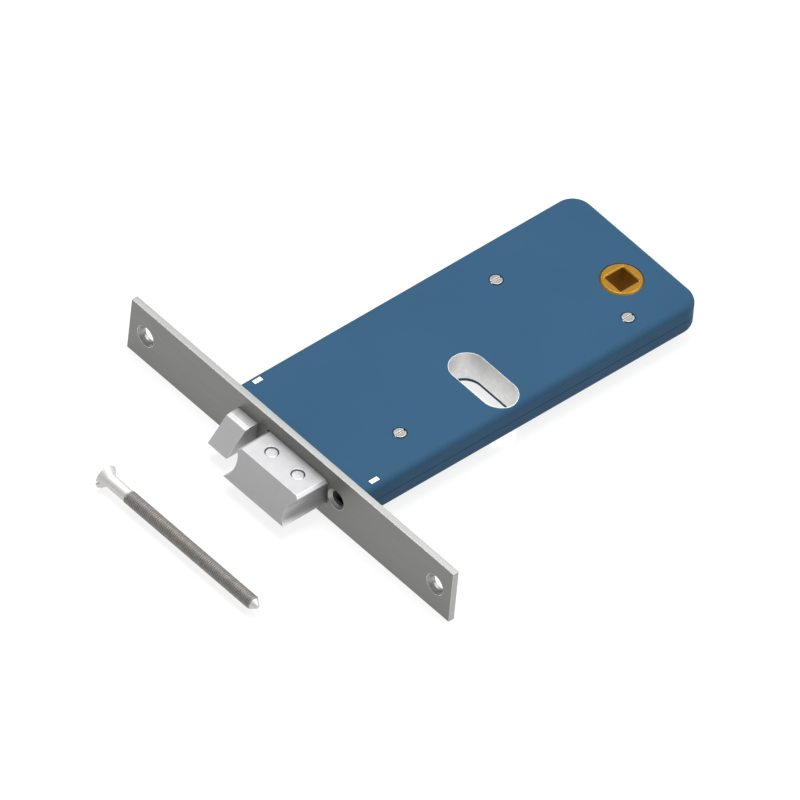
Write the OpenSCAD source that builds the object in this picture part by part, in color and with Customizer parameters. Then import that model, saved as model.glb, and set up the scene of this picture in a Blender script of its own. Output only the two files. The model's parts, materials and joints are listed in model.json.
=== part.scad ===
// Narrow self-latching mortise lock, lying on its broad side.
// X runs into the door, with 0 at the front face of the faceplate.
// Y runs along the faceplate, towards the auxiliary latch.
// Z runs through the thickness of the case, with 0 at its mid-plane.

/* [Faceplate] */
// Length of the faceplate
faceplate_l = 160; // [158:1:180]
// Width of the faceplate
faceplate_w = 22; // [20:1:24]
// Thickness of the faceplate
faceplate_t = 2.5; // [2.5:0.1:2.8]
// Distance between the two fixing holes
faceplate_screw_pitch = 144; // [140:1:146]
// Radius of a fixing hole
faceplate_screw_r = 2.6; // [2.2:0.1:2.8]
// Radius of a countersink at the front face
countersink_r = 4; // [3.4:0.1:4.2]

/* [Case] */
// Depth of the lock from the faceplate's front face to the back of the case
case_depth = 154; // [154:1:158]
// Lower edge of the case
case_y_low = -31; // [-33:0.5:-31]
// Upper edge of the case
case_y_high = 33; // [33:0.5:35]
// Thickness of the case
case_t = 13; // [13:0.1:13.2]
// Thickness of the case's sheet metal
sheet_t = 1.2; // [1:0.1:1.2]
// Radius of the rounded edge round the broad faces
edge_r = 3; // [2.5:0.1:3.2]
// Radius of the two back corners
corner_r = 7.5; // [7:0.5:9]

/* [Main bolt] */
// Centre of the main bolt along the faceplate
bolt_y = -3.3; // [-3.4:0.1:-3.2]
// Thickness of the main bolt
bolt_t = 10; // [9.6:0.1:10]
// How far the short edge of the bevel stands out
bolt_short_out = 12.7; // [12:0.1:14]
// How far the long edge of the bevel stands out
bolt_long_out = 18.8; // [18.5:0.1:18.8]
// Stroke of the main bolt
bolt_travel = 18.2; // [17:0.1:18.2]
// Radius of a hardened pin in the bolt
saw_pin_r = 2.5; // [2:0.1:2.6]

/* [Auxiliary latch] */
// Centre of the auxiliary latch along the faceplate
latch_y = 21.4; // [21.2:0.1:21.4]
// Width of the auxiliary latch
latch_w = 9.4; // [9.2:0.1:9.6]
// How far the auxiliary latch stands out
latch_out = 12.8; // [12:0.1:13]

/* [Cylinder slot] */
// Distance from the faceplate's front face to the middle of the slot
slot_x = 70.8; // [70.6:0.1:71]
// Middle of the slot along the faceplate
slot_y = -15.3; // [-15.4:0.1:-15.2]
// Width of the slot
slot_w = 13; // [12.8:0.1:13.2]
// Length of the slot
slot_l = 28.5; // [28:0.1:28.6]

/* [Follower] */
// Distance from the faceplate's front face to the follower's axis
follower_x = 138; // [137.8:0.1:138]
// Follower's axis along the faceplate
follower_y = -7.9; // [-8:0.1:-7.8]
// Width of the square hole for the handle's spindle
spindle_hole_w = 8.2; // [8.1:0.1:8.3]
// Angle that each lever leans away from upright at rest
lever_tilt = 24; // [24:0.5:25]

/* [Cylinder fixing screw] */
// Length of the screw with its head
screw_l = 76; // [70:1:80]
// Radius of the screw's thread
screw_r = 2.55; // [2.4:0.05:2.6]
// Hole for the screw along the faceplate
screw_hole_y = -22.8; // [-22.9:0.1:-22.7]

/* [Hidden] */
$fn = 64;

// Small overshoot that keeps a cut from ending on a face
cut = 1;
// Gap between a moving piece and the piece beside it
gap = 0.3;
// Radial clearance of a shaft that turns or slides in a hole
run_gap = 0.05;

// Case: the shells meet with a fine parting line at the mid-plane
case_half = case_t / 2;
inner_half = case_half - sheet_t;
parting = 0.1;
inner_back = case_depth - sheet_t;
inner_low = case_y_low + sheet_t;
inner_high = case_y_high - sheet_t;

// Case posts, each with a cover screw on top: [x, y]
post_at = [[104.9, 17.1], [128, -22.4], [32.7, -16.9]];
post_r = 3;
post_neck_r = 1.8;
tapped_r = 1.3;
tapped_l = 8;
recess_r = 2.6;
recess_depth = 0.7;
cover_screw_r = 2.1;
cover_screw_h = 0.9;
cover_shank_r = 1.25;
driver_slot_w = 0.8;
driver_slot_depth = 0.6;

// Faceplate brackets with lugs that are clinched in windows of the case
bracket_t = 1.6;
bracket_reach = 16;
bracket_half_h = 5;
bracket_foot = 1.4;
lug_x = 11.6;
lug_y = [30, -28];
lug_l = 3.6;
lug_w = 1.7;
lug_gap = 0.15;
lug_low_z = 3.9;
lug_high_z = 6.3;

// Sleeve round the cylinder slot, open low down and where the cam swings
sleeve_t = 1;
sleeve_lip = 0.15;
sleeve_low_y = -27.9;
cam_window_low = -26.2;
cam_window_high = -3;
cam_window_half = 4.6;

// Main bolt: half widths of its flat top, lip, groove and flared foot
bolt_half = bolt_t / 2;
top_half = 13.6;
lip_half = 14.8;
lip_drop = 0.8;
groove_half = 12.6;
groove_r = 5.2;
foot_half = 15;
groove_x = groove_half + groove_r;
groove_z = sqrt(groove_r * groove_r - (groove_x - foot_half) * (groove_x - foot_half)) - bolt_half;
shoulder_x = 3.2;
shoulder_l = 2.8;
shoulder_over = 1.2;
bolt_back = 22;
bolt_body_low = -13;
bolt_body_high = 8.5;
saw_pin_x = -5.7;
saw_pin_spacing = 13;
saw_pin_gap = 0.3;
saw_pin_chamfer = 0.2;
saw_pin_recess = 0.4;

// Auxiliary latch: its flat top and the break points of its bevelled nose
latch_half = latch_w / 2;
latch_top_z = 3.9;
latch_lip_x = -3.4;
latch_break_x = -5.2;
latch_break_z = 3.6;
latch_shoulder_l = 2;
latch_shoulder_over = 0.9;
latch_back = 14;
stem_r = 2;
stem_front = 9;
stem_back = 41;
clip_x = 38.3;
clip_t = 0.8;
clip_r = 2.7;
seat_gap = 0.02;
latch_bracket_x = 35;
latch_bracket_t = 2;
latch_bracket_half = 5.6;

// Levers: the same reach turns both of them through the bolt's stroke
lever_reach = bolt_travel / (2 * sin(lever_tilt));
tip_back = lever_reach * sin(lever_tilt);
lever_low_z = 0.4;
lever_high_z = 2.4;
cam_lever_x = 47;
cam_lever_y = 4.2;
cam_lever_r = 4;
cam_root_half = 3;
cam_neck_half = 1.5;
cam_tip_r = 1.7;
cam_foot_reach = 14;
cam_foot_r = 2;
cam_foot_angle = -47;
lever_pin_r = 2;
lever_pin_neck_r = 1.3;

// Bolt tail, a plate above the levers with guide slots
tail_low_z = 2.9;
tail_x = 6;
tail_rail_w = 3.2;
tail_slot_half = post_r + gap;
tail_slot_x = post_at[2][0] - post_r - bolt_travel - gap;
tail_slot_y = post_at[2][1];
tail_face_x = cam_lever_x - tip_back + cam_tip_r + gap;
tail_lug_l = 3;
tail_arm_low = 7;
tail_arm_high = 15;
tail_rivet_r = 1.6;
tail_rivet_low_z = -1;
tail_rivet_at = [[9, 4], [18.5, 4], [18.5, -10.8]];

// Pull bar between the bolt tail and the follower
bar_low = 9;
bar_high = 13.5;
bar_y = (bar_low + bar_high) / 2;
bar_low_z = -1.6;
bar_front = 28.5;
bar_pin_x = 32;
bar_pin_r = 1.8;
bar_slot_x = bar_pin_x - bolt_travel - bar_pin_r - gap;
fork_tip_r = 2.5;
fork_front_t = 4;
fork_back_t = 2.4;
fork_x = follower_x - tip_back;
fork_flare_y = 11.5;
fork_flare = 1.4;
fork_slot_high = follower_y + lever_reach + fork_tip_r + gap;
fork_top_t = 2;
bar_lug_x = 86;
bar_lug_l = 3;
bar_lug_low = -6;
guide_x = [76, 112];
guide_l = 3;
guide_wall = 1.5;
guide_gap = 0.2;

// Coil springs of round wire
wire_r = 0.4;
coil_sides = 6;
coil_steps = 14;
coil_end_gap = 0.1;
bolt_spring_y = [-2.5, -9.5];
bolt_spring_z = -2.6;
bolt_spring_r = 2.1;
bolt_spring_turns = 11;
bridge_x = 53;
bridge_l = 3;
bridge_low_y = -13;
bridge_high_y = 1;
bridge_top_z = -0.2;
rod_r = 1.2;
rod_front = 42;
latch_spring_r = 2.8;
latch_spring_turns = 8;
bar_spring_y = -2.5;
bar_spring_z = (bar_low_z + lever_high_z) / 2;
bar_spring_r = 2.6;
bar_spring_turns = 8;
bar_stop_x = 117;
bar_stop_l = 3;
bar_stop_half = 4;
bar_stop_top_z = 3.8;
spigot_r = 1.6;
spigot_l = 5;

// Locking lever and its leaf spring
lock_pin_x = 62;
lock_pin_y = 22.5;
lock_low_z = 3.0;
lock_high_z = 4.8;
lock_hub_r = 3.8;
lock_root_half = 3;
lock_boss = 0.4;
lock_nose_x = 39.5;
lock_nose_l = 3.5;
lock_nose_low = 15.4;
lock_nose_h = 3.6;
leaf_t = 0.4;
leaf_tip = [48, 21.6];
leaf_root = [67, 29.6];
leaf_foot = [3, 2.4];

// Follower
follower_collar_r = 7.45;
follower_half = case_half + 0.4;
follower_chamfer = 0.7;
follower_flange_r = 10.5;
follower_flange_half = 4.9;
arm_root_half = 4;
arm_neck_half = 1.3;
square_chamfer = 0.4;

// Loose screw, lying in front of the faceplate with its head at the high end of Y
screw_x = -48.7;
screw_head_y = 36.1;
screw_head_r = 4.5;
screw_z = -faceplate_w / 2 + screw_head_r;
screw_shank_r = 2.4;
screw_plain_l = 12;
screw_head_rim = 0.5;
screw_tip_l = 2.6;
screw_tip_r = 0.8;
screw_hole_gap = 0.3;
screw_sink_r = 3.9;
screw_slot_w = 1.2;
screw_slot_depth = 1.2;

function on_circle(r, a) = [r * cos(a), r * sin(a)];

// Upright strip from w0 to w1 whose two top corners are round
module round_top(w0, w1, h, r) {
    translate([w0, 0]) square([w1 - w0, h - r]);
    translate([w0 + r, 0]) square([w1 - w0 - 2 * r, h]);
    for (w = [w0 + r, w1 - r]) translate([w, h - r]) circle(r);
}

// Half of the same strip, from the middle out to w
module round_corner(w, h, r) {
    square([w, h - r]);
    square([w - r, h]);
    translate([w - r, h - r]) circle(r);
}

// Half of the case as a solid from z = 0 to h, with a round edge and round back corners
module tray(x1, y0, y1, h, er, cr) {
    translate([faceplate_t, 0, 0]) rotate([90, 0, 90])
        linear_extrude(x1 - cr - faceplate_t) round_top(y0, y1, h, er);
    translate([x1 - cr, y1 - cr, 0]) rotate([90, 0, 0])
        linear_extrude(y1 - y0 - 2 * cr) round_corner(cr, h, er);
    for (c = [[y1 - cr, 0], [y0 + cr, -90]])
        translate([x1 - cr, c[0], 0]) rotate([0, 0, c[1]])
            rotate_extrude(angle = 90) round_corner(cr, h, er);
}

module case_outside() {
    tray(case_depth, case_y_low, case_y_high, case_half, edge_r, corner_r);
}

module case_inside() {
    tray(inner_back, inner_low, inner_high, inner_half, edge_r - sheet_t, corner_r - sheet_t);
}

// Outline of the cylinder slot, grown by extra all round
module slot_outline(extra) {
    half = (slot_l - slot_w) / 2;
    translate([slot_x, slot_y]) {
        square([slot_w + 2 * extra, 2 * half], center = true);
        for (s = [-1, 1]) translate([0, s * half]) circle(slot_w / 2 + extra);
    }
}

// The lugs of one side up to height top, grown by extra all round
module lugs(top, extra = 0) {
    for (y = lug_y) translate([lug_x - lug_l / 2 - extra, y - lug_w / 2 - extra, lug_low_z])
        cube([lug_l + 2 * extra, lug_w + 2 * extra, top - lug_low_z]);
}

// Pressed half of the case, open towards the mid-plane and the faceplate, with room for a lip in its slot
module half_shell(lip) {
    difference() {
        case_outside();
        case_inside();
        translate([0, 2 * inner_low, -cut]) cube([2 * case_depth, -4 * inner_low, cut + parting]);
        translate([0, 0, lug_low_z]) linear_extrude(case_t) slot_outline(lip);
        translate([follower_x, follower_y, lug_low_z])
            cylinder(r = follower_collar_r + run_gap, h = case_t);
        lugs(case_t, lug_gap);
    }
}

module upper_case_shell() {
    color("#40668a") difference() {
        half_shell(sleeve_lip);
        for (p = post_at) translate([p[0], p[1], 0]) {
            translate([0, 0, lug_low_z]) cylinder(r = tapped_r, h = case_t);
            translate([0, 0, case_half - recess_depth]) cylinder(r = recess_r, h = case_t);
        }
    }
}

module lower_case_shell() {
    color("#40668a") difference() {
        mirror([0, 0, 1]) half_shell(0);
        for (p = post_at) translate([p[0], p[1], -case_t]) cylinder(r = post_neck_r, h = case_t);
        for (p = [[cam_lever_x, cam_lever_y], [lock_pin_x, lock_pin_y]])
            translate([p[0], p[1], -case_t]) cylinder(r = lever_pin_neck_r, h = case_t);
    }
}

// Countersunk hole through the faceplate
module plate_hole(y, r, sink_r) {
    translate([0, y, 0]) rotate([0, 90, 0]) {
        translate([0, 0, -cut]) cylinder(r = r, h = faceplate_t + 2 * cut);
        translate([0, 0, -cut]) cylinder(r = sink_r, h = cut);
        cylinder(r1 = sink_r, r2 = r, h = sink_r - r);
    }
}

// Window in the faceplate for a piece that reaches from the bolt's underside up to top
module plate_window(y, half_w, top) {
    translate([-cut, y - half_w - gap, -bolt_half - gap])
        cube([faceplate_t + 2 * cut, 2 * (half_w + gap), bolt_half + top + 2 * gap]);
}

module faceplate() {
    color("#9a9a96") difference() {
        translate([0, -faceplate_l / 2, -faceplate_w / 2]) cube([faceplate_t, faceplate_l, faceplate_w]);
        plate_window(bolt_y, foot_half, bolt_half);
        plate_window(latch_y, latch_half, latch_top_z);
        for (s = [-1, 1]) plate_hole(s * faceplate_screw_pitch / 2, faceplate_screw_r, countersink_r);
        plate_hole(screw_hole_y, screw_r + screw_hole_gap, screw_sink_r);
    }
}

module faceplate_brackets() {
    color("#d8d9d6") {
        for (b = [[lug_y[0], -1], [lug_y[1], 1]]) translate([faceplate_t, b[0], -bracket_half_h]) {
            translate([0, -bracket_t / 2, 0])
                cube([bracket_reach - faceplate_t, bracket_t, 2 * bracket_half_h]);
            translate([0, b[1] * (bracket_t + bracket_foot) / 2 - bracket_foot / 2, 0])
                cube([bracket_t, bracket_foot, 2 * bracket_half_h]);
        }
        lugs(lug_high_z);
        mirror([0, 0, 1]) lugs(lug_high_z);
    }
}

module case_posts() {
    color("#c9cacc") for (p = post_at) translate([p[0], p[1], 0]) difference() {
        union() {
            translate([0, 0, -inner_half]) cylinder(r = post_r, h = 2 * inner_half);
            translate([0, 0, -case_half]) cylinder(r = post_neck_r - seat_gap, h = case_half);
        }
        translate([0, 0, inner_half - tapped_l]) cylinder(r = tapped_r, h = tapped_l + cut);
    }
}

module cover_screws() {
    color("#e6e6e4") for (p = post_at) translate([p[0], p[1], case_half - recess_depth]) difference() {
        union() {
            cylinder(r = cover_screw_r, h = cover_screw_h);
            translate([0, 0, -tapped_l + cut])
                cylinder(r = cover_shank_r, h = tapped_l - cut + cover_screw_h / 2);
        }
        translate([-case_t, -driver_slot_w / 2, cover_screw_h - driver_slot_depth])
            cube([2 * case_t, driver_slot_w, cut]);
    }
}

// Thin rim of the sleeve that fills the upper shell's slot up to its outer face
module sleeve_rim() {
    intersection() {
        case_outside();
        translate([0, 0, lug_low_z]) linear_extrude(case_t) slot_outline(sleeve_lip);
    }
}

module cylinder_slot_sleeve() {
    color("#e8e8e6") difference() {
        union() {
            intersection() {
                translate([0, 0, -inner_half]) linear_extrude(2 * inner_half) slot_outline(sleeve_t);
                translate([0, sleeve_low_y, -case_t]) cube([case_depth, case_depth, 2 * case_t]);
            }
            sleeve_rim();
        }
        translate([0, 0, -case_t]) linear_extrude(2 * case_t) slot_outline(0);
        translate([slot_x - slot_w, cam_window_low, -cam_window_half])
            cube([slot_w - slot_w / 3, cam_window_high - cam_window_low, 2 * cam_window_half]);
    }
}

module latch_bracket() {
    color("#c9cacc") difference() {
        translate([latch_bracket_x, latch_y - latch_bracket_half, -inner_half])
            cube([latch_bracket_t, 2 * latch_bracket_half, 2 * inner_half]);
        along_x(0, latch_y, 0, stem_r + run_gap, case_depth);
    }
}

// Round bar along X from x0
module along_x(x0, y, z, r, l) {
    translate([x0, y, z]) rotate([0, 90, 0]) cylinder(r = r, h = l);
}

module spring_bridge() {
    color("#c9cacc") difference() {
        translate([bridge_x, bridge_low_y, -inner_half])
            cube([bridge_l, bridge_high_y - bridge_low_y, inner_half + bridge_top_z]);
        for (y = bolt_spring_y) along_x(0, y, bolt_spring_z, rod_r + seat_gap, case_depth);
    }
}

module spring_guide_rods() {
    color("#d0d1d3") for (y = bolt_spring_y)
        along_x(rod_front, y, bolt_spring_z, rod_r, bridge_x + bridge_l - rod_front);
}

module pull_bar_guides() {
    color("#c9cacc") for (x = guide_x) difference() {
        translate([x, bar_low - guide_gap - guide_wall, -inner_half])
            cube([guide_l, bar_high - bar_low + 2 * (guide_gap + guide_wall),
                  inner_half + lever_high_z + guide_gap + guide_wall]);
        translate([x - cut, bar_low - guide_gap, bar_low_z - guide_gap])
            cube([guide_l + 2 * cut, bar_high - bar_low + 2 * guide_gap,
                  lever_high_z - bar_low_z + 2 * guide_gap]);
    }
}

module pull_bar_spring_stop() {
    color("#c9cacc") {
        translate([bar_stop_x, bar_spring_y - bar_stop_half, -inner_half])
            cube([bar_stop_l, 2 * bar_stop_half, inner_half + bar_stop_top_z]);
        along_x(bar_stop_x - spigot_l, bar_spring_y, bar_spring_z, spigot_r, spigot_l + cut);
    }
}

// Pivot pin that stands on the lower shell and is riveted through it
module lever_pin(x, y) {
    translate([x, y, -inner_half]) cylinder(r = lever_pin_r, h = 2 * inner_half);
    translate([x, y, -case_half]) cylinder(r = lever_pin_neck_r - seat_gap, h = case_half);
}

module cylinder_lever_pin() {
    color("#d0d1d3") lever_pin(cam_lever_x, cam_lever_y);
}

module locking_lever_pin() {
    color("#d0d1d3") lever_pin(lock_pin_x, lock_pin_y);
}

module locking_lever_spring() {
    color("#b9bbbd") {
        translate([0, 0, lock_low_z]) linear_extrude(lock_high_z - lock_low_z)
            polygon([leaf_tip, leaf_root, leaf_root + [0, leaf_t], leaf_tip + [0, leaf_t]]);
        translate([leaf_root[0], leaf_root[1] - leaf_foot[1] + leaf_t, -inner_half])
            cube([leaf_foot[0], leaf_foot[1], inner_half + lock_high_z]);
    }
}

// Cross-section of the main bolt, with a round groove and a slanted lip at both ends
module bolt_section() {
    difference() {
        square([2 * foot_half, bolt_t], center = true);
        for (s = [0, 1]) mirror([s, 0]) {
            translate([groove_x, groove_z]) circle(groove_r);
            translate([lip_half, groove_z]) square([bolt_t, bolt_t]);
            polygon([[top_half, bolt_half], [lip_half, bolt_half - lip_drop],
                     [lip_half + cut, bolt_half - lip_drop], [lip_half + cut, bolt_half + cut],
                     [top_half, bolt_half + cut]]);
        }
    }
}

module main_bolt() {
    color("#c4c6c8") difference() {
        union() {
            intersection() {
                translate([0, bolt_y + foot_half, 0]) rotate([90, 0, 0]) linear_extrude(2 * foot_half)
                    polygon([[-bolt_long_out, -bolt_half], [-bolt_short_out, bolt_half],
                             [tail_x, bolt_half], [tail_x, -bolt_half]]);
                translate([-bolt_long_out, bolt_y, 0]) rotate([90, 0, 90])
                    linear_extrude(bolt_long_out + tail_x) bolt_section();
            }
            translate([shoulder_x, bolt_y - foot_half - shoulder_over, -bolt_half])
                cube([shoulder_l, 2 * (foot_half + shoulder_over), bolt_t]);
            translate([shoulder_x, bolt_body_low, -bolt_half])
                cube([bolt_back - shoulder_x, bolt_body_high - bolt_body_low, bolt_half + tail_low_z]);
        }
        for (s = [-1, 1]) translate([saw_pin_x, bolt_y + s * saw_pin_spacing / 2, -bolt_t])
            cylinder(r = saw_pin_r, h = 2 * bolt_t);
        for (p = tail_rivet_at) translate([p[0], p[1], tail_rivet_low_z])
            cylinder(r = tail_rivet_r, h = bolt_t);
    }
}

// Hardened rollers that turn loosely in the bolt, a little below its top
module anti_saw_pins() {
    pin_r = saw_pin_r - saw_pin_gap;
    pin_top = bolt_half - saw_pin_recess;
    color("#e2e3e5") for (s = [-1, 1]) translate([saw_pin_x, bolt_y + s * saw_pin_spacing / 2, 0])
        rotate_extrude() polygon([
            [0, -bolt_half], [pin_r, -bolt_half], [pin_r, pin_top - saw_pin_chamfer],
            [pin_r - saw_pin_chamfer, pin_top], [0, pin_top]
        ]);
}

// Slot along X with square ends
module slot_between(x0, x1, y, half) {
    translate([x0, y - half]) square([x1 - x0, 2 * half]);
}

module bolt_tail() {
    frame_half = tail_slot_half + tail_rail_w;
    color("#b4b6b8") translate([0, 0, tail_low_z]) linear_extrude(bolt_half - tail_low_z) difference() {
        union() {
            slot_between(tail_x, tail_face_x + tail_lug_l, tail_slot_y, frame_half);
            translate([tail_x, bolt_body_low]) square([bolt_back - tail_x, tail_arm_low - bolt_body_low]);
            slot_between(tail_x, bar_pin_x + bar_pin_r + gap + tail_lug_l,
                         (tail_arm_low + tail_arm_high) / 2, (tail_arm_high - tail_arm_low) / 2);
        }
        slot_between(tail_slot_x, tail_face_x, tail_slot_y, tail_slot_half);
        slot_between(bar_slot_x, bar_pin_x + bar_pin_r + gap, bar_y, bar_pin_r + gap);
        for (p = tail_rivet_at) translate(p) circle(tail_rivet_r);
    }
}

module bolt_tail_rivets() {
    color("#d0d1d3") for (p = tail_rivet_at) translate([p[0], p[1], tail_rivet_low_z])
        cylinder(r = tail_rivet_r - seat_gap, h = bolt_half - tail_rivet_low_z);
}

function ring_point(i, j, x0, step, r, w) =
    let (a = 360 * i / coil_steps, b = 360 * j / coil_sides, m = r + w * cos(b))
    [x0 + i * step + w * sin(b), m * cos(a), m * sin(a)];

// Coil spring along X between x0 and x1, with mean radius r
module coil(x0, x1, y, z, r, turns) {
    rings = turns * coil_steps;
    first = x0 + coil_end_gap + wire_r;
    step = (x1 - x0 - 2 * (coil_end_gap + wire_r)) / rings;
    points = [for (i = [0 : rings]) for (j = [0 : coil_sides - 1]) ring_point(i, j, first, step, r, wire_r)];
    sides = [for (i = [0 : rings - 1]) for (j = [0 : coil_sides - 1])
        let (a = i * coil_sides, n = (j + 1) % coil_sides)
        [a + j, a + n, a + coil_sides + n, a + coil_sides + j]];
    ends = [[for (j = [coil_sides - 1 : -1 : 0]) j],
            [for (j = [0 : coil_sides - 1]) rings * coil_sides + j]];
    translate([0, y, z]) polyhedron(points, concat(sides, ends));
}

module main_bolt_springs() {
    color("#b9bbbd") for (y = bolt_spring_y)
        coil(bolt_back, bridge_x, y, bolt_spring_z, bolt_spring_r, bolt_spring_turns);
}

module latch_spring() {
    color("#b9bbbd") coil(latch_back, latch_bracket_x, latch_y, 0, latch_spring_r, latch_spring_turns);
}

module pull_bar_spring() {
    color("#b9bbbd") coil(bar_lug_x + bar_lug_l, bar_stop_x, bar_spring_y, bar_spring_z,
                          bar_spring_r, bar_spring_turns);
}

module auxiliary_latch() {
    color("#c4c6c8") difference() {
        union() {
            translate([0, latch_y + latch_half, 0]) rotate([90, 0, 0]) linear_extrude(latch_w)
                polygon([[-latch_out, -bolt_half], [latch_break_x, latch_break_z],
                         [latch_lip_x, latch_top_z], [latch_back, latch_top_z],
                         [latch_back, -bolt_half]]);
            translate([shoulder_x, latch_y - latch_half - latch_shoulder_over, -bolt_half])
                cube([latch_shoulder_l, latch_w + 2 * latch_shoulder_over, bolt_half + latch_top_z]);
        }
        along_x(stem_front, latch_y, 0, stem_r + seat_gap, case_depth);
    }
}

module latch_stem() {
    color("#d0d1d3") along_x(stem_front, latch_y, 0, stem_r, stem_back - stem_front);
}

module latch_stem_clip() {
    color("#8d8f92") difference() {
        along_x(clip_x, latch_y, 0, clip_r, clip_t);
        along_x(0, latch_y, 0, stem_r + seat_gap, case_depth);
    }
}

// Arm of a lever, from its pivot to a round tip, with a neck that is 2 * neck_half wide
module lever_arm(angle, reach, root_half, neck_half, tip_r) {
    rotate(angle)
        polygon([[0, -root_half], [reach, -neck_half], [reach, neck_half], [0, root_half]]);
    translate(on_circle(reach, angle)) circle(tip_r);
}

module cylinder_lever() {
    color("#bdbfc1") translate([cam_lever_x, cam_lever_y, 0]) difference() {
        union() {
            translate([0, 0, lever_low_z]) linear_extrude(lever_high_z - lever_low_z) {
                circle(cam_lever_r);
                lever_arm(-90 - lever_tilt, lever_reach, cam_root_half, cam_neck_half, cam_tip_r);
                lever_arm(cam_foot_angle, cam_foot_reach, cam_root_half, cam_neck_half, cam_foot_r);
            }
            translate([-tip_back, -lever_reach * cos(lever_tilt), lever_low_z])
                cylinder(r = cam_tip_r, h = bolt_half - lever_low_z);
        }
        translate([0, 0, -case_t]) cylinder(r = lever_pin_r + run_gap, h = 2 * case_t);
    }
}

module locking_lever() {
    plate_t = lock_high_z - lock_low_z;
    color("#bdbfc1") difference() {
        union() {
            translate([lock_pin_x, lock_pin_y, lock_low_z - lock_boss])
                cylinder(r = lock_hub_r, h = plate_t + 1.5 * lock_boss);
            translate([0, 0, lock_low_z]) linear_extrude(plate_t)
                polygon([[lock_pin_x, lock_pin_y - lock_root_half],
                         [lock_nose_x + lock_nose_l, lock_nose_low],
                         [lock_nose_x, lock_nose_low],
                         [lock_nose_x, lock_nose_low + lock_nose_h],
                         [lock_nose_x + lock_nose_l, lock_nose_low + lock_nose_h],
                         [lock_pin_x, lock_pin_y + lock_root_half]]);
        }
        translate([lock_pin_x, lock_pin_y, -case_t]) cylinder(r = lever_pin_r + run_gap, h = 2 * case_t);
    }
}

module pull_bar() {
    fork_half = fork_tip_r + gap;
    color("#b4b6b8") difference() {
        translate([0, 0, bar_low_z]) linear_extrude(lever_high_z - bar_low_z) difference() {
            union() {
                translate([bar_front, bar_low]) square([fork_x - bar_front, bar_high - bar_low]);
                translate([bar_lug_x, bar_lug_low]) square([bar_lug_l, bar_high - bar_lug_low]);
                translate([fork_x - fork_half - fork_front_t, bar_low])
                    square([2 * fork_half + fork_front_t + fork_back_t,
                            fork_slot_high + fork_top_t - bar_low]);
            }
            translate([fork_x, 0])
                polygon([[-fork_half, fork_slot_high], [fork_half, fork_slot_high],
                         [fork_half, fork_flare_y], [fork_half + fork_flare, bar_low - cut],
                         [-fork_half - fork_flare, bar_low - cut], [-fork_half, fork_flare_y]]);
        }
        translate([bar_pin_x, bar_y, -case_t]) cylinder(r = bar_pin_r + seat_gap, h = 2 * case_t);
    }
}

module pull_bar_pin() {
    color("#d0d1d3") translate([bar_pin_x, bar_y, bar_low_z])
        cylinder(r = bar_pin_r, h = bolt_half - bar_low_z);
}

// Square hole for the spindle, with a small chamfer at both mouths
module spindle_hole() {
    half = spindle_hole_w / 2;
    cube([spindle_hole_w, spindle_hole_w, 2 * case_t], center = true);
    for (turn = [0 : 90 : 270]) for (s = [0, 1]) mirror([0, 0, s]) rotate([0, 0, turn])
        translate([half, half + square_chamfer, follower_half]) rotate([90, 0, 0])
            linear_extrude(spindle_hole_w + 2 * square_chamfer)
                polygon([[-square_chamfer, 0], [0, -square_chamfer], [square_chamfer, 0]]);
}

module follower() {
    color("#c8962e") translate([follower_x, follower_y, 0]) difference() {
        union() {
            rotate_extrude() polygon([
                [0, -follower_half], [follower_collar_r - follower_chamfer, -follower_half],
                [follower_collar_r, -follower_half + follower_chamfer],
                [follower_collar_r, follower_half - follower_chamfer],
                [follower_collar_r - follower_chamfer, follower_half], [0, follower_half]
            ]);
            translate([0, 0, -follower_flange_half])
                cylinder(r = follower_flange_r, h = 2 * follower_flange_half);
            translate([0, 0, bar_low_z]) linear_extrude(lever_high_z - bar_low_z)
                lever_arm(90 + lever_tilt, lever_reach, arm_root_half, arm_neck_half, fork_tip_r);
        }
        spindle_hole();
    }
}

module cylinder_fixing_screw() {
    cone_l = screw_head_r - screw_shank_r;
    step = screw_r - screw_shank_r;
    color("#bcbdbf") translate([screw_x, screw_head_y, screw_z]) rotate([90, 0, 0]) difference() {
        rotate_extrude() polygon([
            [0, 0], [screw_head_r, 0], [screw_head_r, screw_head_rim],
            [screw_shank_r, screw_head_rim + cone_l], [screw_shank_r, screw_plain_l],
            [screw_r, screw_plain_l + step], [screw_r, screw_l - screw_tip_l],
            [screw_tip_r, screw_l], [0, screw_l]
        ]);
        translate([-2 * screw_head_r, -screw_slot_w / 2, -cut])
            cube([4 * screw_head_r, screw_slot_w, cut + screw_slot_depth]);
    }
}

faceplate();
faceplate_brackets();
upper_case_shell();
lower_case_shell();
case_posts();
cover_screws();
cylinder_slot_sleeve();
latch_bracket();
spring_bridge();
spring_guide_rods();
pull_bar_guides();
pull_bar_spring_stop();
cylinder_lever_pin();
locking_lever_pin();
locking_lever_spring();
main_bolt();
anti_saw_pins();
bolt_tail();
bolt_tail_rivets();
main_bolt_springs();
auxiliary_latch();
latch_stem();
latch_stem_clip();
latch_spring();
follower();
pull_bar();
pull_bar_pin();
pull_bar_spring();
cylinder_lever();
locking_lever();
cylinder_fixing_screw();
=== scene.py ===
"""Looks of a mortise lock: camera, light, finishes and fine shapes round its CAD parts."""

import json
import math

import bmesh
import bpy
from mathutils import Matrix, Vector


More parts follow.
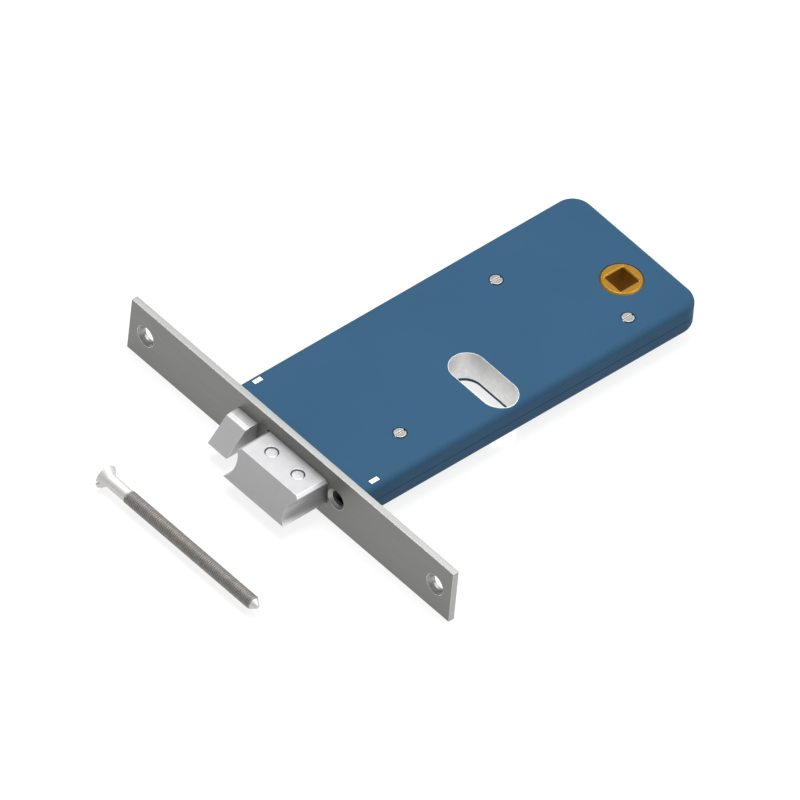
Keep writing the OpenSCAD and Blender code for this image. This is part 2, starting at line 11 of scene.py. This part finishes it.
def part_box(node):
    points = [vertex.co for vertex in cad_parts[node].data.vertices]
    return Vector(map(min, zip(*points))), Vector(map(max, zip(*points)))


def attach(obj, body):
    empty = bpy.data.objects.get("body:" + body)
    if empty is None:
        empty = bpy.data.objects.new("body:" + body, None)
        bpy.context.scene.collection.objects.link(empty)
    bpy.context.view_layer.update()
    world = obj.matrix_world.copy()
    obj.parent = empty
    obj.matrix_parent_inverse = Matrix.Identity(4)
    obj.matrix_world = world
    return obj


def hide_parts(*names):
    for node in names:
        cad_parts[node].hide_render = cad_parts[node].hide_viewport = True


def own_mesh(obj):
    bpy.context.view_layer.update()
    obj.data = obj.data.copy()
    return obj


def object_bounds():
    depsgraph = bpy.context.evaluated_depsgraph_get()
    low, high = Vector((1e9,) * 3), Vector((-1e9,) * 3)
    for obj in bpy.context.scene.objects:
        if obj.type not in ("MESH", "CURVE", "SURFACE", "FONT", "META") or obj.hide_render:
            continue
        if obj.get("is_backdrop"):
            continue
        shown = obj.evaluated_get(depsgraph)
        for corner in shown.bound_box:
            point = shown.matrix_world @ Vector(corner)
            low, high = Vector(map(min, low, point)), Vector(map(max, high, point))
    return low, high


MM = 0.001

# Camera: an orthographic view from above the corner between the faceplate and the low side
VIEW_RIGHT = Vector((0.748, -0.6597, 0.0729))
VIEW_UP = Vector((0.4303, 0.5654, 0.7037))
VIEW_BACK = VIEW_RIGHT.cross(VIEW_UP)
VIEW_CENTRE = (36.06 * VIEW_RIGHT + 19.87 * VIEW_UP) * MM
VIEW_WIDTH = 262.7 * MM
VIEW_DISTANCE = 0.6
VIEW_CLIP = (0.01, 5.0)

# Edges sharper than this many degrees get small rounds; the latch's nose has fainter creases
ROUND_ANGLE = 32
LATCH_CREASE = 8

# Directions that level metal and the flared foot of the bolt mirror, so a soft light is put in each
MIRROR_SIDE = (0.505, 0.495, 0.707)
FOOT_SIDE = (0.505, -0.435, 0.745)

# White surroundings: strength at the horizon and straight up, then for each soft light its direction,
# the cosine from that direction where it begins, and its strength from SKY_FULL on
SKY_STRENGTH = (0.2, 0.75)
SKY_LIGHTS = ((MIRROR_SIDE, 0.65, 0.35), (FOOT_SIDE, 0.8, 2.0))
SKY_FULL = 0.98

# Key light, in metres and watts
KEY_PLACE = (0.1, 0.1, 0.85)
KEY_AIM = (0.06, 0, 0)
KEY_SIZE = 0.5
KEY_POWER = 7.0

# Floor: half its width, how much light it returns and how much it gives off
FLOOR_HALF = 3.0
FLOOR_GREY = 0.18
FLOOR_GLOW = 0.82

# Corners closer than these are one corner, and faces within FLAT_ANGLE degrees are one face
CAD_MERGE = 0.5e-6
PIECE_MERGE = 1e-7
FLAT_ANGLE = 0.4

# Coil springs of round wire. The turns at each end lie CLOSED_PITCH apart.
AXIS_X = Vector((1, 0, 0))
WIRE_R = 0.4 * MM
WIRE_SIDES = 10
WIRE_SHARP = 50
COIL_STEPS = 28
CLOSED_TURNS = 1.2
CLOSED_PITCH = 2.04 * WIRE_R

# Radius of the follower's flange, in millimetres
FLANGE_R = 10.5

# Fixing screw, in millimetres along its axis from the face of its head
SCREW_SIDES = 40
SCREW_SLOT_W = 1.2
SCREW_SLOT_DEPTH = 1.2
SCREW_SLOT_REACH = 6
SCREW_SLOT_OVER = 1
HEAD_PROFILE = ((0.0, 4.28), (0.1, 4.4), (0.2, 4.45), (0.45, 4.45), (0.58, 4.36), (2.5, 2.46), (2.75, 2.4))
NECK_R = 2.4
NECK_STEP = 0.3
THREAD_PITCH = 0.8
THREAD_FIRST = 12.0
THREAD_LAST = 74.0
THREAD_ROOT = 2.1
THREAD_CREST = 2.53
THREAD_PROFILE = ((0.0, THREAD_ROOT), (0.1, THREAD_ROOT), (0.48, THREAD_CREST), (0.62, THREAD_CREST))
TIP_START = 73.4
TIP_SLOPE = 0.65
TIP_PROFILE = ((75.8, 0.93), (76.0, 0.75))


def srgb(red, green, blue):
    """A colour of 0 to 255 values as the linear values that a shader takes."""
    def linear(value):
        share = value / 255
        return share / 12.92 if share <= 0.04045 else ((share + 0.055) / 1.055) ** 2.4
    return (linear(red), linear(green), linear(blue), 1.0)


def shaded(colour, share):
    """A colour made darker or lighter by that share."""
    return (colour[0] * share, colour[1] * share, colour[2] * share, 1.0)


def map_range(tree, source, reach, result):
    """The source's values from reach's low to high as values from result's first to second."""
    node = tree.nodes.new("ShaderNodeMapRange")
    for name, number in zip(("From Min", "From Max", "To Min", "To Max"), (*reach, *result)):
        node.inputs[name].default_value = number
    tree.links.new(source, node.inputs["Value"])
    return node.outputs["Result"]


class Finish:
    """A procedural material in the lock's own coordinates, with sizes in millimetres."""

    def __init__(self, name, metallic, specular=0.5):
        self.material = bpy.data.materials.new(name)
        self.material.use_nodes = True
        self.tree = self.material.node_tree
        self.shader = self.tree.nodes["Principled BSDF"]
        self.shader.inputs["Metallic"].default_value = metallic
        self.shader.inputs["Specular IOR Level"].default_value = specular
        self.place = self.add("ShaderNodeTexCoord").outputs["Object"]

    def add(self, kind, **settings):
        node = self.tree.nodes.new(kind)
        for key, value in settings.items():
            setattr(node, key, value)
        return node

    def link(self, source, socket):
        self.tree.links.new(source, socket)

    def grain(self, size, stretch=(1, 1, 1), detail=3.0):
        """Noise with grains of that size, drawn out along the axes by the stretch."""
        mapping = self.add("ShaderNodeMapping")
        mapping.inputs["Scale"].default_value = [1 / (size * MM * s) for s in stretch]
        self.link(self.place, mapping.inputs["Vector"])
        noise = self.add("ShaderNodeTexNoise")
        noise.inputs["Scale"].default_value = 1.0
        noise.inputs["Detail"].default_value = detail
        self.link(mapping.outputs["Vector"], noise.inputs["Vector"])
        return noise.outputs["Fac"]

    def rings(self, centre, spacing):
        """Fine rings round an axis along Z through the centre, as a lathe leaves."""
        offset = self.add("ShaderNodeVectorMath", operation="SUBTRACT")
        offset.inputs[1].default_value = centre
        self.link(self.place, offset.inputs[0])
        flat = self.add("ShaderNodeVectorMath", operation="MULTIPLY")
        flat.inputs[1].default_value = (1, 1, 0.02)
        self.link(offset.outputs["Vector"], flat.inputs[0])
        radius = self.add("ShaderNodeVectorMath", operation="LENGTH")
        self.link(flat.outputs["Vector"], radius.inputs[0])
        turned = self.add("ShaderNodeTexNoise", noise_dimensions="1D")
        turned.inputs["Scale"].default_value = 1 / (spacing * MM)
        turned.inputs["Detail"].default_value = 2.0
        self.link(radius.outputs["Value"], turned.inputs["W"])
        return turned.outputs["Fac"]

    def edges(self):
        """1 on small rounds along edges and on the fixing screw's plain faces, and 0 on the others. The
        finishes paint highlights with it, and the case paint paints shade.
        """
        return self.add("ShaderNodeAttribute", attribute_name="edge").outputs["Fac"]

    def rim(self):
        """1 on faces that look away from the X axis, and 0 on those square to it."""
        facing = self.add("ShaderNodeSeparateXYZ")
        self.link(self.add("ShaderNodeNewGeometry").outputs["Normal"], facing.inputs["Vector"])
        along = self.add("ShaderNodeMath", operation="ABSOLUTE")
        self.link(facing.outputs["X"], along.inputs[0])
        return self.spread(along.outputs["Value"], 0.6, 0.9, 1.0, 0.0)

    def spread(self, value, low, high, out_low, out_high):
        return map_range(self.tree, value, (low, high), (out_low, out_high))

    def full(self, pattern):
        """A noise pattern spread over the whole range from 0 to 1."""
        return self.spread(pattern, 0.3, 0.7, 0.0, 1.0)

    def product(self, a, b):
        node = self.add("ShaderNodeMath", operation="MULTIPLY")
        self.link(a, node.inputs[0])
        self.link(b, node.inputs[1])
        return node.outputs["Value"]

    def between(self, factor, first, second):
        """A colour between two others. Each is a colour or another node's output."""
        node = self.add("ShaderNodeMix", data_type="RGBA")
        self.link(factor, node.inputs["Factor"])
        for socket, colour in ((node.inputs[6], first), (node.inputs[7], second)):
            if isinstance(colour, bpy.types.NodeSocket):
                self.link(colour, socket)
            else:
                socket.default_value = colour
        return node.outputs[2]

    def colour(self, source):
        self.link(source, self.shader.inputs["Base Color"])

    def roughness(self, source):
        self.link(source, self.shader.inputs["Roughness"])

    def bumps(self, *heights):
        """Adds height patterns to the surface: pairs of a pattern and its depth in millimetres."""
        normal = None
        for pattern, depth in heights:
            bump = self.add("ShaderNodeBump")
            bump.inputs["Strength"].default_value = 1.0
            bump.inputs["Distance"].default_value = depth * MM
            self.link(pattern, bump.inputs["Height"])
            if normal is not None:
                self.link(normal, bump.inputs["Normal"])
            normal = bump.outputs["Normal"]
        self.link(normal, self.shader.inputs["Normal"])


def powder_coat():
    finish = Finish("case_paint", metallic=0.0, specular=0.08)
    blue = srgb(41, 74, 100)
    cloud = finish.spread(finish.grain(38, detail=4.0), 0.35, 0.65, 0.0, 1.0)
    base = finish.between(cloud, shaded(blue, 0.97), shaded(blue, 1.03))
    # Painted shade: the small rounds along the edges are painted darker, as dark edge lines broken up by
    # fine noise.
    painted_edge_shading = finish.product(finish.edges(), finish.spread(finish.grain(1.6), 0.35, 0.62, 0.1, 0.6))
    finish.colour(finish.between(painted_edge_shading, base, srgb(27, 52, 78)))
    finish.roughness(finish.spread(finish.grain(5.0), 0.3, 0.7, 0.5, 0.6))
    finish.bumps((finish.grain(0.75, detail=1.0), 0.006), (finish.grain(0.16, detail=2.0), 0.0015))
    return finish.material


def brushed_plate():
    finish = Finish("faceplate_steel", metallic=0.85)
    steel = srgb(123, 124, 123)
    strokes = finish.grain(0.25, stretch=(1, 60, 1), detail=3.0)
    streaks = finish.grain(1.2, stretch=(1, 25, 1), detail=3.0)
    tone = finish.full(strokes)
    base = finish.between(tone, shaded(steel, 0.93), shaded(steel, 1.07))
    patch = finish.spread(streaks, 0.35, 0.7, 0.0, 0.6)
    toned = finish.between(patch, base, srgb(129, 127, 122))
    # Painted highlight: faces turned away from the X axis, such as the top and bottom edges, are painted
    # lighter than the front.
    painted_rim_highlight = finish.between(finish.rim(), toned, srgb(166, 167, 165))
    # Painted highlight: the small rounds along the edges are painted lighter, broken up by fine noise.
    painted_edge_shading = finish.product(finish.edges(), finish.spread(finish.grain(1.1), 0.3, 0.6, 0.4, 1.0))
    finish.colour(finish.between(painted_edge_shading, painted_rim_highlight, srgb(214, 214, 212)))
    finish.roughness(finish.spread(streaks, 0.3, 0.7, 0.36, 0.46))
    finish.bumps((strokes, 0.004), (finish.grain(3.0), 0.006))
    return finish.material


def ground_bolt():
    finish = Finish("bolt_steel", metallic=0.45)
    nickel = srgb(184, 184, 186)
    strokes = finish.grain(0.2, stretch=(30, 1, 30), detail=2.0)
    tone = finish.full(strokes)
    cast = finish.full(finish.grain(6.0))
    base = finish.between(tone, shaded(nickel, 0.95), shaded(nickel, 1.04))
    toned = finish.between(cast, base, shaded(srgb(187, 186, 187), 0.98))
    # Painted highlight: the small rounds along the edges are painted lighter.
    finish.colour(finish.between(finish.edges(), toned, srgb(204, 204, 206)))
    finish.roughness(finish.spread(finish.grain(2.5), 0.3, 0.7, 0.32, 0.42))
    finish.bumps((strokes, 0.003), (finish.grain(1.2), 0.003))
    return finish.material


def zinc_plate():
    finish = Finish("zinc_plate", metallic=0.7)
    zinc = srgb(236, 236, 233)
    bloom = finish.spread(finish.grain(1.8, detail=4.0), 0.35, 0.65, 0.0, 1.0)
    finish.colour(finish.between(bloom, shaded(zinc, 0.92), zinc))
    finish.roughness(finish.spread(finish.grain(1.2), 0.3, 0.7, 0.34, 0.5))
    finish.bumps((finish.grain(0.5), 0.002))
    return finish.material


def hardened_pin():
    finish = Finish("hardened_pin", metallic=0.85)
    steel = srgb(216, 217, 219)
    fine = finish.grain(0.35, detail=2.0)
    tone = finish.full(fine)
    finish.colour(finish.between(tone, shaded(steel, 0.92), steel))
    finish.roughness(finish.spread(finish.grain(0.8), 0.3, 0.7, 0.24, 0.34))
    finish.bumps((fine, 0.001))
    return finish.material


def screw_zinc():
    finish = Finish("screw_steel", metallic=0.6)
    zinc = srgb(146, 143, 140)
    bloom = finish.spread(finish.grain(2.2, detail=4.0), 0.35, 0.65, 0.0, 1.0)
    base = finish.between(bloom, shaded(zinc, 0.88), shaded(zinc, 1.05))
    # Painted highlight and shade: the small rounds and the fixing screw's plain faces are painted lighter,
    # and its thread keeps the darker colour as painted shade in its grooves.
    finish.colour(finish.between(finish.edges(), base, srgb(205, 204, 203)))
    finish.roughness(finish.spread(finish.grain(0.9), 0.3, 0.7, 0.45, 0.58))
    finish.bumps((finish.grain(0.25), 0.003))
    return finish.material


def sintered_lever():
    finish = Finish("lever_steel", metallic=0.7)
    steel = srgb(168, 170, 173)
    pits = finish.grain(0.3, detail=4.0)
    tone = finish.full(pits)
    finish.colour(finish.between(tone, shaded(steel, 0.8), steel))
    finish.roughness(finish.spread(pits, 0.3, 0.7, 0.5, 0.38))
    finish.bumps((pits, 0.01))
    return finish.material


def spring_wire():
    finish = Finish("spring_steel", metallic=0.8)
    wire = srgb(150, 152, 156)
    drawn = finish.grain(0.2, stretch=(1, 6, 6), detail=2.0)
    tone = finish.full(drawn)
    finish.colour(finish.between(tone, shaded(wire, 0.75), wire))
    finish.roughness(finish.spread(finish.grain(1.5), 0.3, 0.7, 0.2, 0.36))
    finish.bumps((drawn, 0.003))
    return finish.material


def turned_brass(axis):
    finish = Finish("brass", metallic=0.6)
    brass = srgb(158, 114, 24)
    turned = finish.rings(axis, 0.25)
    patina = finish.spread(finish.grain(2.4, detail=4.0), 0.35, 0.7, 0.0, 0.6)
    tone = finish.full(turned)
    base = finish.between(tone, shaded(brass, 0.92), shaded(brass, 1.06))
    aged = finish.between(patina, base, srgb(148, 104, 20))
    # Painted highlight: the small rounds along the edges are painted lighter.
    finish.colour(finish.between(finish.edges(), aged, srgb(232, 190, 84)))
    finish.roughness(finish.spread(finish.grain(1.5), 0.3, 0.7, 0.28, 0.4))
    finish.bumps((turned, 0.004), (finish.grain(0.4), 0.003))
    return finish.material


def rounded_mesh(source, name, radius, sharp_from):
    """A copy of a CAD mesh with small rounds, in millimetres, along edges sharper than sharp_from."""
    shape = bmesh.new()
    shape.from_mesh(source.data)
    bmesh.ops.remove_doubles(shape, verts=shape.verts, dist=CAD_MERGE)
    flat = math.radians(FLAT_ANGLE)
    bmesh.ops.dissolve_limit(shape, angle_limit=flat, verts=shape.verts, edges=shape.edges)
    on_edge = shape.faces.layers.float.new("edge")
    limit = math.radians(sharp_from)
    sharp = [e for e in shape.edges if e.is_manifold and e.calc_face_angle() > limit]
    rounds = bmesh.ops.bevel(
        shape, geom=sharp, offset=radius * MM, offset_type="OFFSET", segments=2,
        profile=0.5, affect="EDGES", clamp_overlap=True, loop_slide=True,
    )
    for face in rounds["faces"]:
        face[on_edge] = 1.0
    mesh = bpy.data.meshes.new(name)
    shape.to_mesh(mesh)
    shape.free()
    shade(mesh, ROUND_ANGLE)
    return mesh


def shade(mesh, angle):
    """Smooth shading, with edges sharper than the angle in degrees kept sharp."""
    mesh.shade_smooth()
    mesh.set_sharp_from_angle(angle=math.radians(angle))


def piece(mesh, name, material, body, slot, *nodes):
    """Puts a mesh in the scene as a piece that rides on a body and stands for those CAD nodes."""
    made = bpy.data.objects.new(name, mesh)
    bpy.context.scene.collection.objects.link(made)
    mesh.materials.clear()
    mesh.materials.append(material)
    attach(made, body)
    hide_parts(*nodes)
    return made


def mesh_of(name, vertices, faces):
    """A mesh with its faces turned outwards and its doubled corners joined."""
    mesh = bpy.data.meshes.new(name)
    mesh.from_pydata(vertices, [], faces)
    shape = bmesh.new()
    shape.from_mesh(mesh)
    bmesh.ops.remove_doubles(shape, verts=shape.verts, dist=PIECE_MERGE)
    bmesh.ops.dissolve_degenerate(shape, edges=shape.edges, dist=PIECE_MERGE)
    bmesh.ops.recalc_face_normals(shape, faces=shape.faces)
    shape.to_mesh(mesh)
    shape.free()
    return mesh


def coil_axes(low, high):
    """The axes of the equal coils along X that fill a box side by side, and their outer radius."""
    outer = (high.z - low.z) / 2
    level = (high.z + low.z) / 2
    if high.y - low.y < 3 * outer:
        return [((low.y + high.y) / 2, level)], outer
    return [(low.y + outer, level), (high.y - outer, level)], outer


def coil_mesh(name, low, high, turns):
    """Round wire springs with closed ends in the box of their CAD node. The box is in metres."""
    vertices = []
    faces = []
    steps = turns * COIL_STEPS
    axes, outer = coil_axes(low, high)
    radius = outer - WIRE_R
    free = high.x - low.x - 2 * WIRE_R
    open_pitch = (free - 2 * CLOSED_TURNS * CLOSED_PITCH) / (turns - 2 * CLOSED_TURNS)
    for y, z in axes:
        start = len(vertices)
        for i in range(steps + 1):
            turn = i / COIL_STEPS
            along = min(turn, CLOSED_TURNS) * CLOSED_PITCH
            along += max(0, min(turn, turns - CLOSED_TURNS) - CLOSED_TURNS) * open_pitch
            along += max(0, turn - (turns - CLOSED_TURNS)) * CLOSED_PITCH
            angle = 2 * math.pi * turn
            out = Vector((0, math.cos(angle), math.sin(angle)))
            centre = Vector((low.x + WIRE_R + along, y, z)) + radius * out
            for j in range(WIRE_SIDES):
                side = 2 * math.pi * j / WIRE_SIDES
                vertices.append(centre + WIRE_R * (math.cos(side) * out + math.sin(side) * AXIS_X))
        for i in range(steps):
            for j in range(WIRE_SIDES):
                a = start + i * WIRE_SIDES
                n = (j + 1) % WIRE_SIDES
                faces.append((a + j, a + n, a + WIRE_SIDES + n, a + WIRE_SIDES + j))
        faces.append([start + j for j in reversed(range(WIRE_SIDES))])
        faces.append([start + steps * WIRE_SIDES + j for j in range(WIRE_SIDES)])
    mesh = mesh_of(name, vertices, faces)
    shade(mesh, WIRE_SHARP)
    return mesh


def cut_slot(mesh, low, high):
    """Cuts a box out of a closed mesh. The corners are in metres."""
    body = bpy.data.objects.new("cut_body", mesh)
    box = bpy.data.meshes.new("cut_box")
    shape = bmesh.new()
    place = Matrix.Translation((low + high) / 2) @ Matrix.Diagonal((high - low).to_4d())
    bmesh.ops.create_cube(shape, size=1.0, matrix=place)
    shape.to_mesh(box)
    shape.free()
    cutter = bpy.data.objects.new("cut_cutter", box)
    for made in (body, cutter):
        bpy.context.scene.collection.objects.link(made)
    modifier = body.modifiers.new("slot", "BOOLEAN")
    modifier.object = cutter
    modifier.operation = "DIFFERENCE"
    modifier.solver = "EXACT"
    graph = bpy.context.evaluated_depsgraph_get()
    result = bpy.data.meshes.new_from_object(body.evaluated_get(graph))
    bpy.data.objects.remove(body)
    bpy.data.objects.remove(cutter)
    return result


def level_row(along, radius):
    """A ring of the screw that lies square to its axis."""
    return [(along, radius)] * SCREW_SIDES


def thread_rows():
    """Rings of the thread. They climb one pitch each time round, so the crest is one clean helix."""
    rows = []
    turns = math.ceil((THREAD_LAST - THREAD_FIRST) / THREAD_PITCH) + 1
    for turn in range(-1, turns):
        for share, radius in THREAD_PROFILE:
            row = []
            for side in range(SCREW_SIDES):
                along = THREAD_FIRST + (turn + share + side / SCREW_SIDES) * THREAD_PITCH
                inside = THREAD_FIRST < along < THREAD_LAST
                tip = THREAD_CREST - TIP_SLOPE * (along - TIP_START)
                along = min(max(along, THREAD_FIRST), THREAD_LAST)
                row.append((along, min(radius, tip) if inside else THREAD_ROOT))
            rows.append(row)
    return rows


def screw_skin(name, rows, face_at):
    """A closed shape from rings of (distance from the face of the head, radius), in millimetres."""
    vertices = []
    faces = []
    x, y, z = face_at
    for row in rows:
        for side, (along, radius) in enumerate(row):
            angle = 2 * math.pi * (side + 0.5) / SCREW_SIDES
            corner = Vector((x + radius * math.cos(angle), y - along, z + radius * math.sin(angle)))
            vertices.append(corner * MM)
    for i in range(len(rows) - 1):
        first = i * SCREW_SIDES
        following = first + SCREW_SIDES
        for j in range(SCREW_SIDES):
            n = (j + 1) % SCREW_SIDES
            faces.append((first + j, first + n, following + n, following + j))
    faces.append(list(reversed(range(SCREW_SIDES))))
    faces.append([(len(rows) - 1) * SCREW_SIDES + j for j in range(SCREW_SIDES)])
    return mesh_of(name, vertices, faces)


def screw_mesh(name, low, high):
    """The fixing screw: countersunk head with a slot, plain neck, helical thread and conical end."""
    face_at = ((low.x + high.x) / 2 / MM, high.y / MM, (low.z + high.z) / 2 / MM)
    rows = [level_row(along, radius) for along, radius in HEAD_PROFILE]
    rows += [level_row(THREAD_FIRST - NECK_STEP, NECK_R), level_row(THREAD_FIRST, THREAD_ROOT)]
    rows += thread_rows()
    rows += [level_row(along, radius) for along, radius in ((THREAD_LAST, THREAD_ROOT), *TIP_PROFILE)]
    x, y, z = face_at
    slot_low = Vector((x - SCREW_SLOT_REACH, y - SCREW_SLOT_DEPTH, z - SCREW_SLOT_W / 2)) * MM
    slot_high = Vector((x + SCREW_SLOT_REACH, y + SCREW_SLOT_OVER, z + SCREW_SLOT_W / 2)) * MM
    mesh = cut_slot(screw_skin(name, rows, face_at), slot_low, slot_high)
    # The thread's faces get 0 and the rest 1, so the screw finish paints the thread darker as painted
    # shade and the rest lighter as painted highlight.
    smooth = mesh.attributes.new("edge", "FLOAT", "FACE")
    for face, mark in zip(mesh.polygons, smooth.data):
        along = y - face.center.y / MM
        mark.value = 0.0 if THREAD_FIRST < along < THREAD_LAST else 1.0
    shade(mesh, ROUND_ANGLE)
    return mesh


def make_camera():
    data = bpy.data.cameras.new("camera")
    data.type = "ORTHO"
    data.ortho_scale = VIEW_WIDTH
    data.clip_start, data.clip_end = VIEW_CLIP
    camera = bpy.data.objects.new("camera", data)
    bpy.context.scene.collection.objects.link(camera)
    turn = Matrix((VIEW_RIGHT, VIEW_UP, VIEW_BACK)).transposed().to_4x4()
    camera.matrix_world = Matrix.Translation(VIEW_CENTRE + VIEW_DISTANCE * VIEW_BACK) @ turn
    bpy.context.scene.camera = camera


def area_light(name, place, size, power):
    data = bpy.data.lights.new(name, "AREA")
    data.shape = "DISK"
    data.size = size
    data.energy = power
    light = bpy.data.objects.new(name, data)
    light.location = place
    light.rotation_euler = (Vector(KEY_AIM) - Vector(place)).to_track_quat("-Z", "Y").to_euler()
    bpy.context.scene.collection.objects.link(light)


def make_sky():
    """White surroundings, dim at the horizon, with broad soft lights where the bolts mirror them."""
    world = bpy.data.worlds.new("studio")
    bpy.context.scene.world = world
    world.use_nodes = True
    tree = world.node_tree
    back = tree.nodes["Background"]
    back.inputs["Color"].default_value = (1.0, 1.0, 1.0, 1.0)
    place = tree.nodes.new("ShaderNodeTexCoord")
    height = tree.nodes.new("ShaderNodeSeparateXYZ")
    tree.links.new(place.outputs["Generated"], height.inputs["Vector"])
    total = map_range(tree, height.outputs["Z"], (0.0, 1.0), SKY_STRENGTH)
    for side, begins, strength in SKY_LIGHTS:
        towards = tree.nodes.new("ShaderNodeVectorMath")
        towards.operation = "DOT_PRODUCT"
        towards.inputs[1].default_value = side
        tree.links.new(place.outputs["Generated"], towards.inputs[0])
        added = tree.nodes.new("ShaderNodeMath")
        added.operation = "ADD"
        tree.links.new(total, added.inputs[0])
        lobe = map_range(tree, towards.outputs["Value"], (begins, SKY_FULL), (0.0, strength))
        tree.links.new(lobe, added.inputs[1])
        total = added.outputs["Value"]
    tree.links.new(total, back.inputs["Strength"])


def make_floor(height):
    """White paper that glows a little, so it stays white under and behind the lock."""
    floor = bpy.data.meshes.new("floor")
    shape = bmesh.new()
    bmesh.ops.create_grid(shape, x_segments=1, y_segments=1, size=FLOOR_HALF)
    shape.to_mesh(floor)
    shape.free()
    ground = bpy.data.objects.new("floor", floor)
    ground.location = (0, 0, height)
    bpy.context.scene.collection.objects.link(ground)
    material = bpy.data.materials.new("floor_paper")
    material.use_nodes = True
    shader = material.node_tree.nodes["Principled BSDF"]
    shader.inputs["Base Color"].default_value = (FLOOR_GREY, FLOOR_GREY, FLOOR_GREY, 1.0)
    shader.inputs["Roughness"].default_value = 0.9
    shader.inputs["Specular IOR Level"].default_value = 0.0
    shader.inputs["Emission Color"].default_value = (1.0, 1.0, 1.0, 1.0)
    shader.inputs["Emission Strength"].default_value = FLOOR_GLOW
    floor.materials.append(material)
    ground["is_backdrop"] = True


def follower_axis():
    """Axis of the brass collar. Its round flange reaches the box's far and low ends."""
    low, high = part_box("follower")
    radius = FLANGE_R * MM
    return (high.x - radius, low.y + radius, 0)


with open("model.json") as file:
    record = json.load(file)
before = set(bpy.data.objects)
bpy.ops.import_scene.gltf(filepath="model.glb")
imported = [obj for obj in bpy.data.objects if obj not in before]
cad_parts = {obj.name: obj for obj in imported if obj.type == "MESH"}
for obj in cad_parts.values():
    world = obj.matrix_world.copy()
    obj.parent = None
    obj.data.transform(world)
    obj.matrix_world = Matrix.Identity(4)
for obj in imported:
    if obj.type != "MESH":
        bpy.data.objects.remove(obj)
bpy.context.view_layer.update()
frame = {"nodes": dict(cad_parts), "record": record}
make_camera()
make_sky()
area_light("key", KEY_PLACE, KEY_SIZE, KEY_POWER)
make_floor(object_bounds()[0].z)
bpy.context.scene.view_settings.view_transform = "Standard"

FINISHES = {
    "case_paint": powder_coat(),
    "faceplate_steel": brushed_plate(),
    "bolt_steel": ground_bolt(),
    "hardened_pin": hardened_pin(),
    "zinc_plate": zinc_plate(),
    "lever_steel": sintered_lever(),
    "spring_steel": spring_wire(),
    "brass": turned_brass(follower_axis()),
    "screw_steel": screw_zinc(),
}
SLOT_OF = {part["node"]: part["material_slot"] for part in frame["record"]["subparts"]}
BODY_OF = {n: body for body, nodes in frame["record"]["behaviour"]["bodies"].items() for n in nodes}

# Radius of the small rounds along the edges of each CAD node, in millimetres
EDGE_ROUNDS = {
    "faceplate": 0.25,
    "faceplate_brackets": 0.15,
    "upper_case_shell": 0.12,
    "lower_case_shell": 0.12,
    "case_posts": 0.15,
    "cover_screws": 0.18,
    "cylinder_slot_sleeve": 0.1,
    "latch_bracket": 0.15,
    "spring_bridge": 0.15,
    "spring_guide_rods": 0.2,
    "pull_bar_guides": 0.15,
    "pull_bar_spring_stop": 0.15,
    "cylinder_lever_pin": 0.15,
    "locking_lever_pin": 0.15,
    "locking_lever_spring": 0.08,
    "main_bolt": 0.25,
    "anti_saw_pins": 0.1,
    "bolt_tail": 0.15,
    "bolt_tail_rivets": 0.1,
    "auxiliary_latch": 0.25,
    "latch_stem": 0.2,
    "latch_stem_clip": 0.08,
    "follower": 0.15,
    "pull_bar": 0.15,
    "pull_bar_pin": 0.15,
    "cylinder_lever": 0.15,
    "locking_lever": 0.15,
}

# Coil springs: turns, the joint that squeezes the spring and the share of its length that is left
COILS = {
    "main_bolt_springs": (11, "main_bolt_slide", 0.413),
    "latch_spring": (8, "auxiliary_latch_slide", 0.405),
    "pull_bar_spring": (8, "pull_bar_slide", 0.35),
}


def finished(mesh, node):
    """The piece that stands for a CAD node, with the node's own body, slot and finish."""
    slot = SLOT_OF[node]
    return piece(mesh, mesh.name, FINISHES[slot], BODY_OF[node], slot, node)


def round_edges():
    """Pieces for the CAD nodes that only gain small rounds. The leaf spring's piece gets a mesh of its
    own.
    """
    for node, radius in EDGE_ROUNDS.items():
        sharp_from = LATCH_CREASE if node == "auxiliary_latch" else ROUND_ANGLE
        mesh = rounded_mesh(frame["nodes"][node], node + "_finished", radius, sharp_from)
        made = finished(mesh, node)
        weighted = made.modifiers.new("even_shading", "WEIGHTED_NORMAL")
        weighted.keep_sharp = True
        if node == "locking_lever_spring":
            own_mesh(made)


def wind_springs():
    """Wire pieces for the coil springs, each with a mesh of its own."""
    for node, (turns, joint, share) in COILS.items():
        low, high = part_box(node)
        made = finished(coil_mesh(node + "_finished", low, high, turns), node)
        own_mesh(made)


round_edges()
wind_springs()
screw = "cylinder_fixing_screw"
finished(screw_mesh(screw + "_finished", *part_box(screw)), screw)
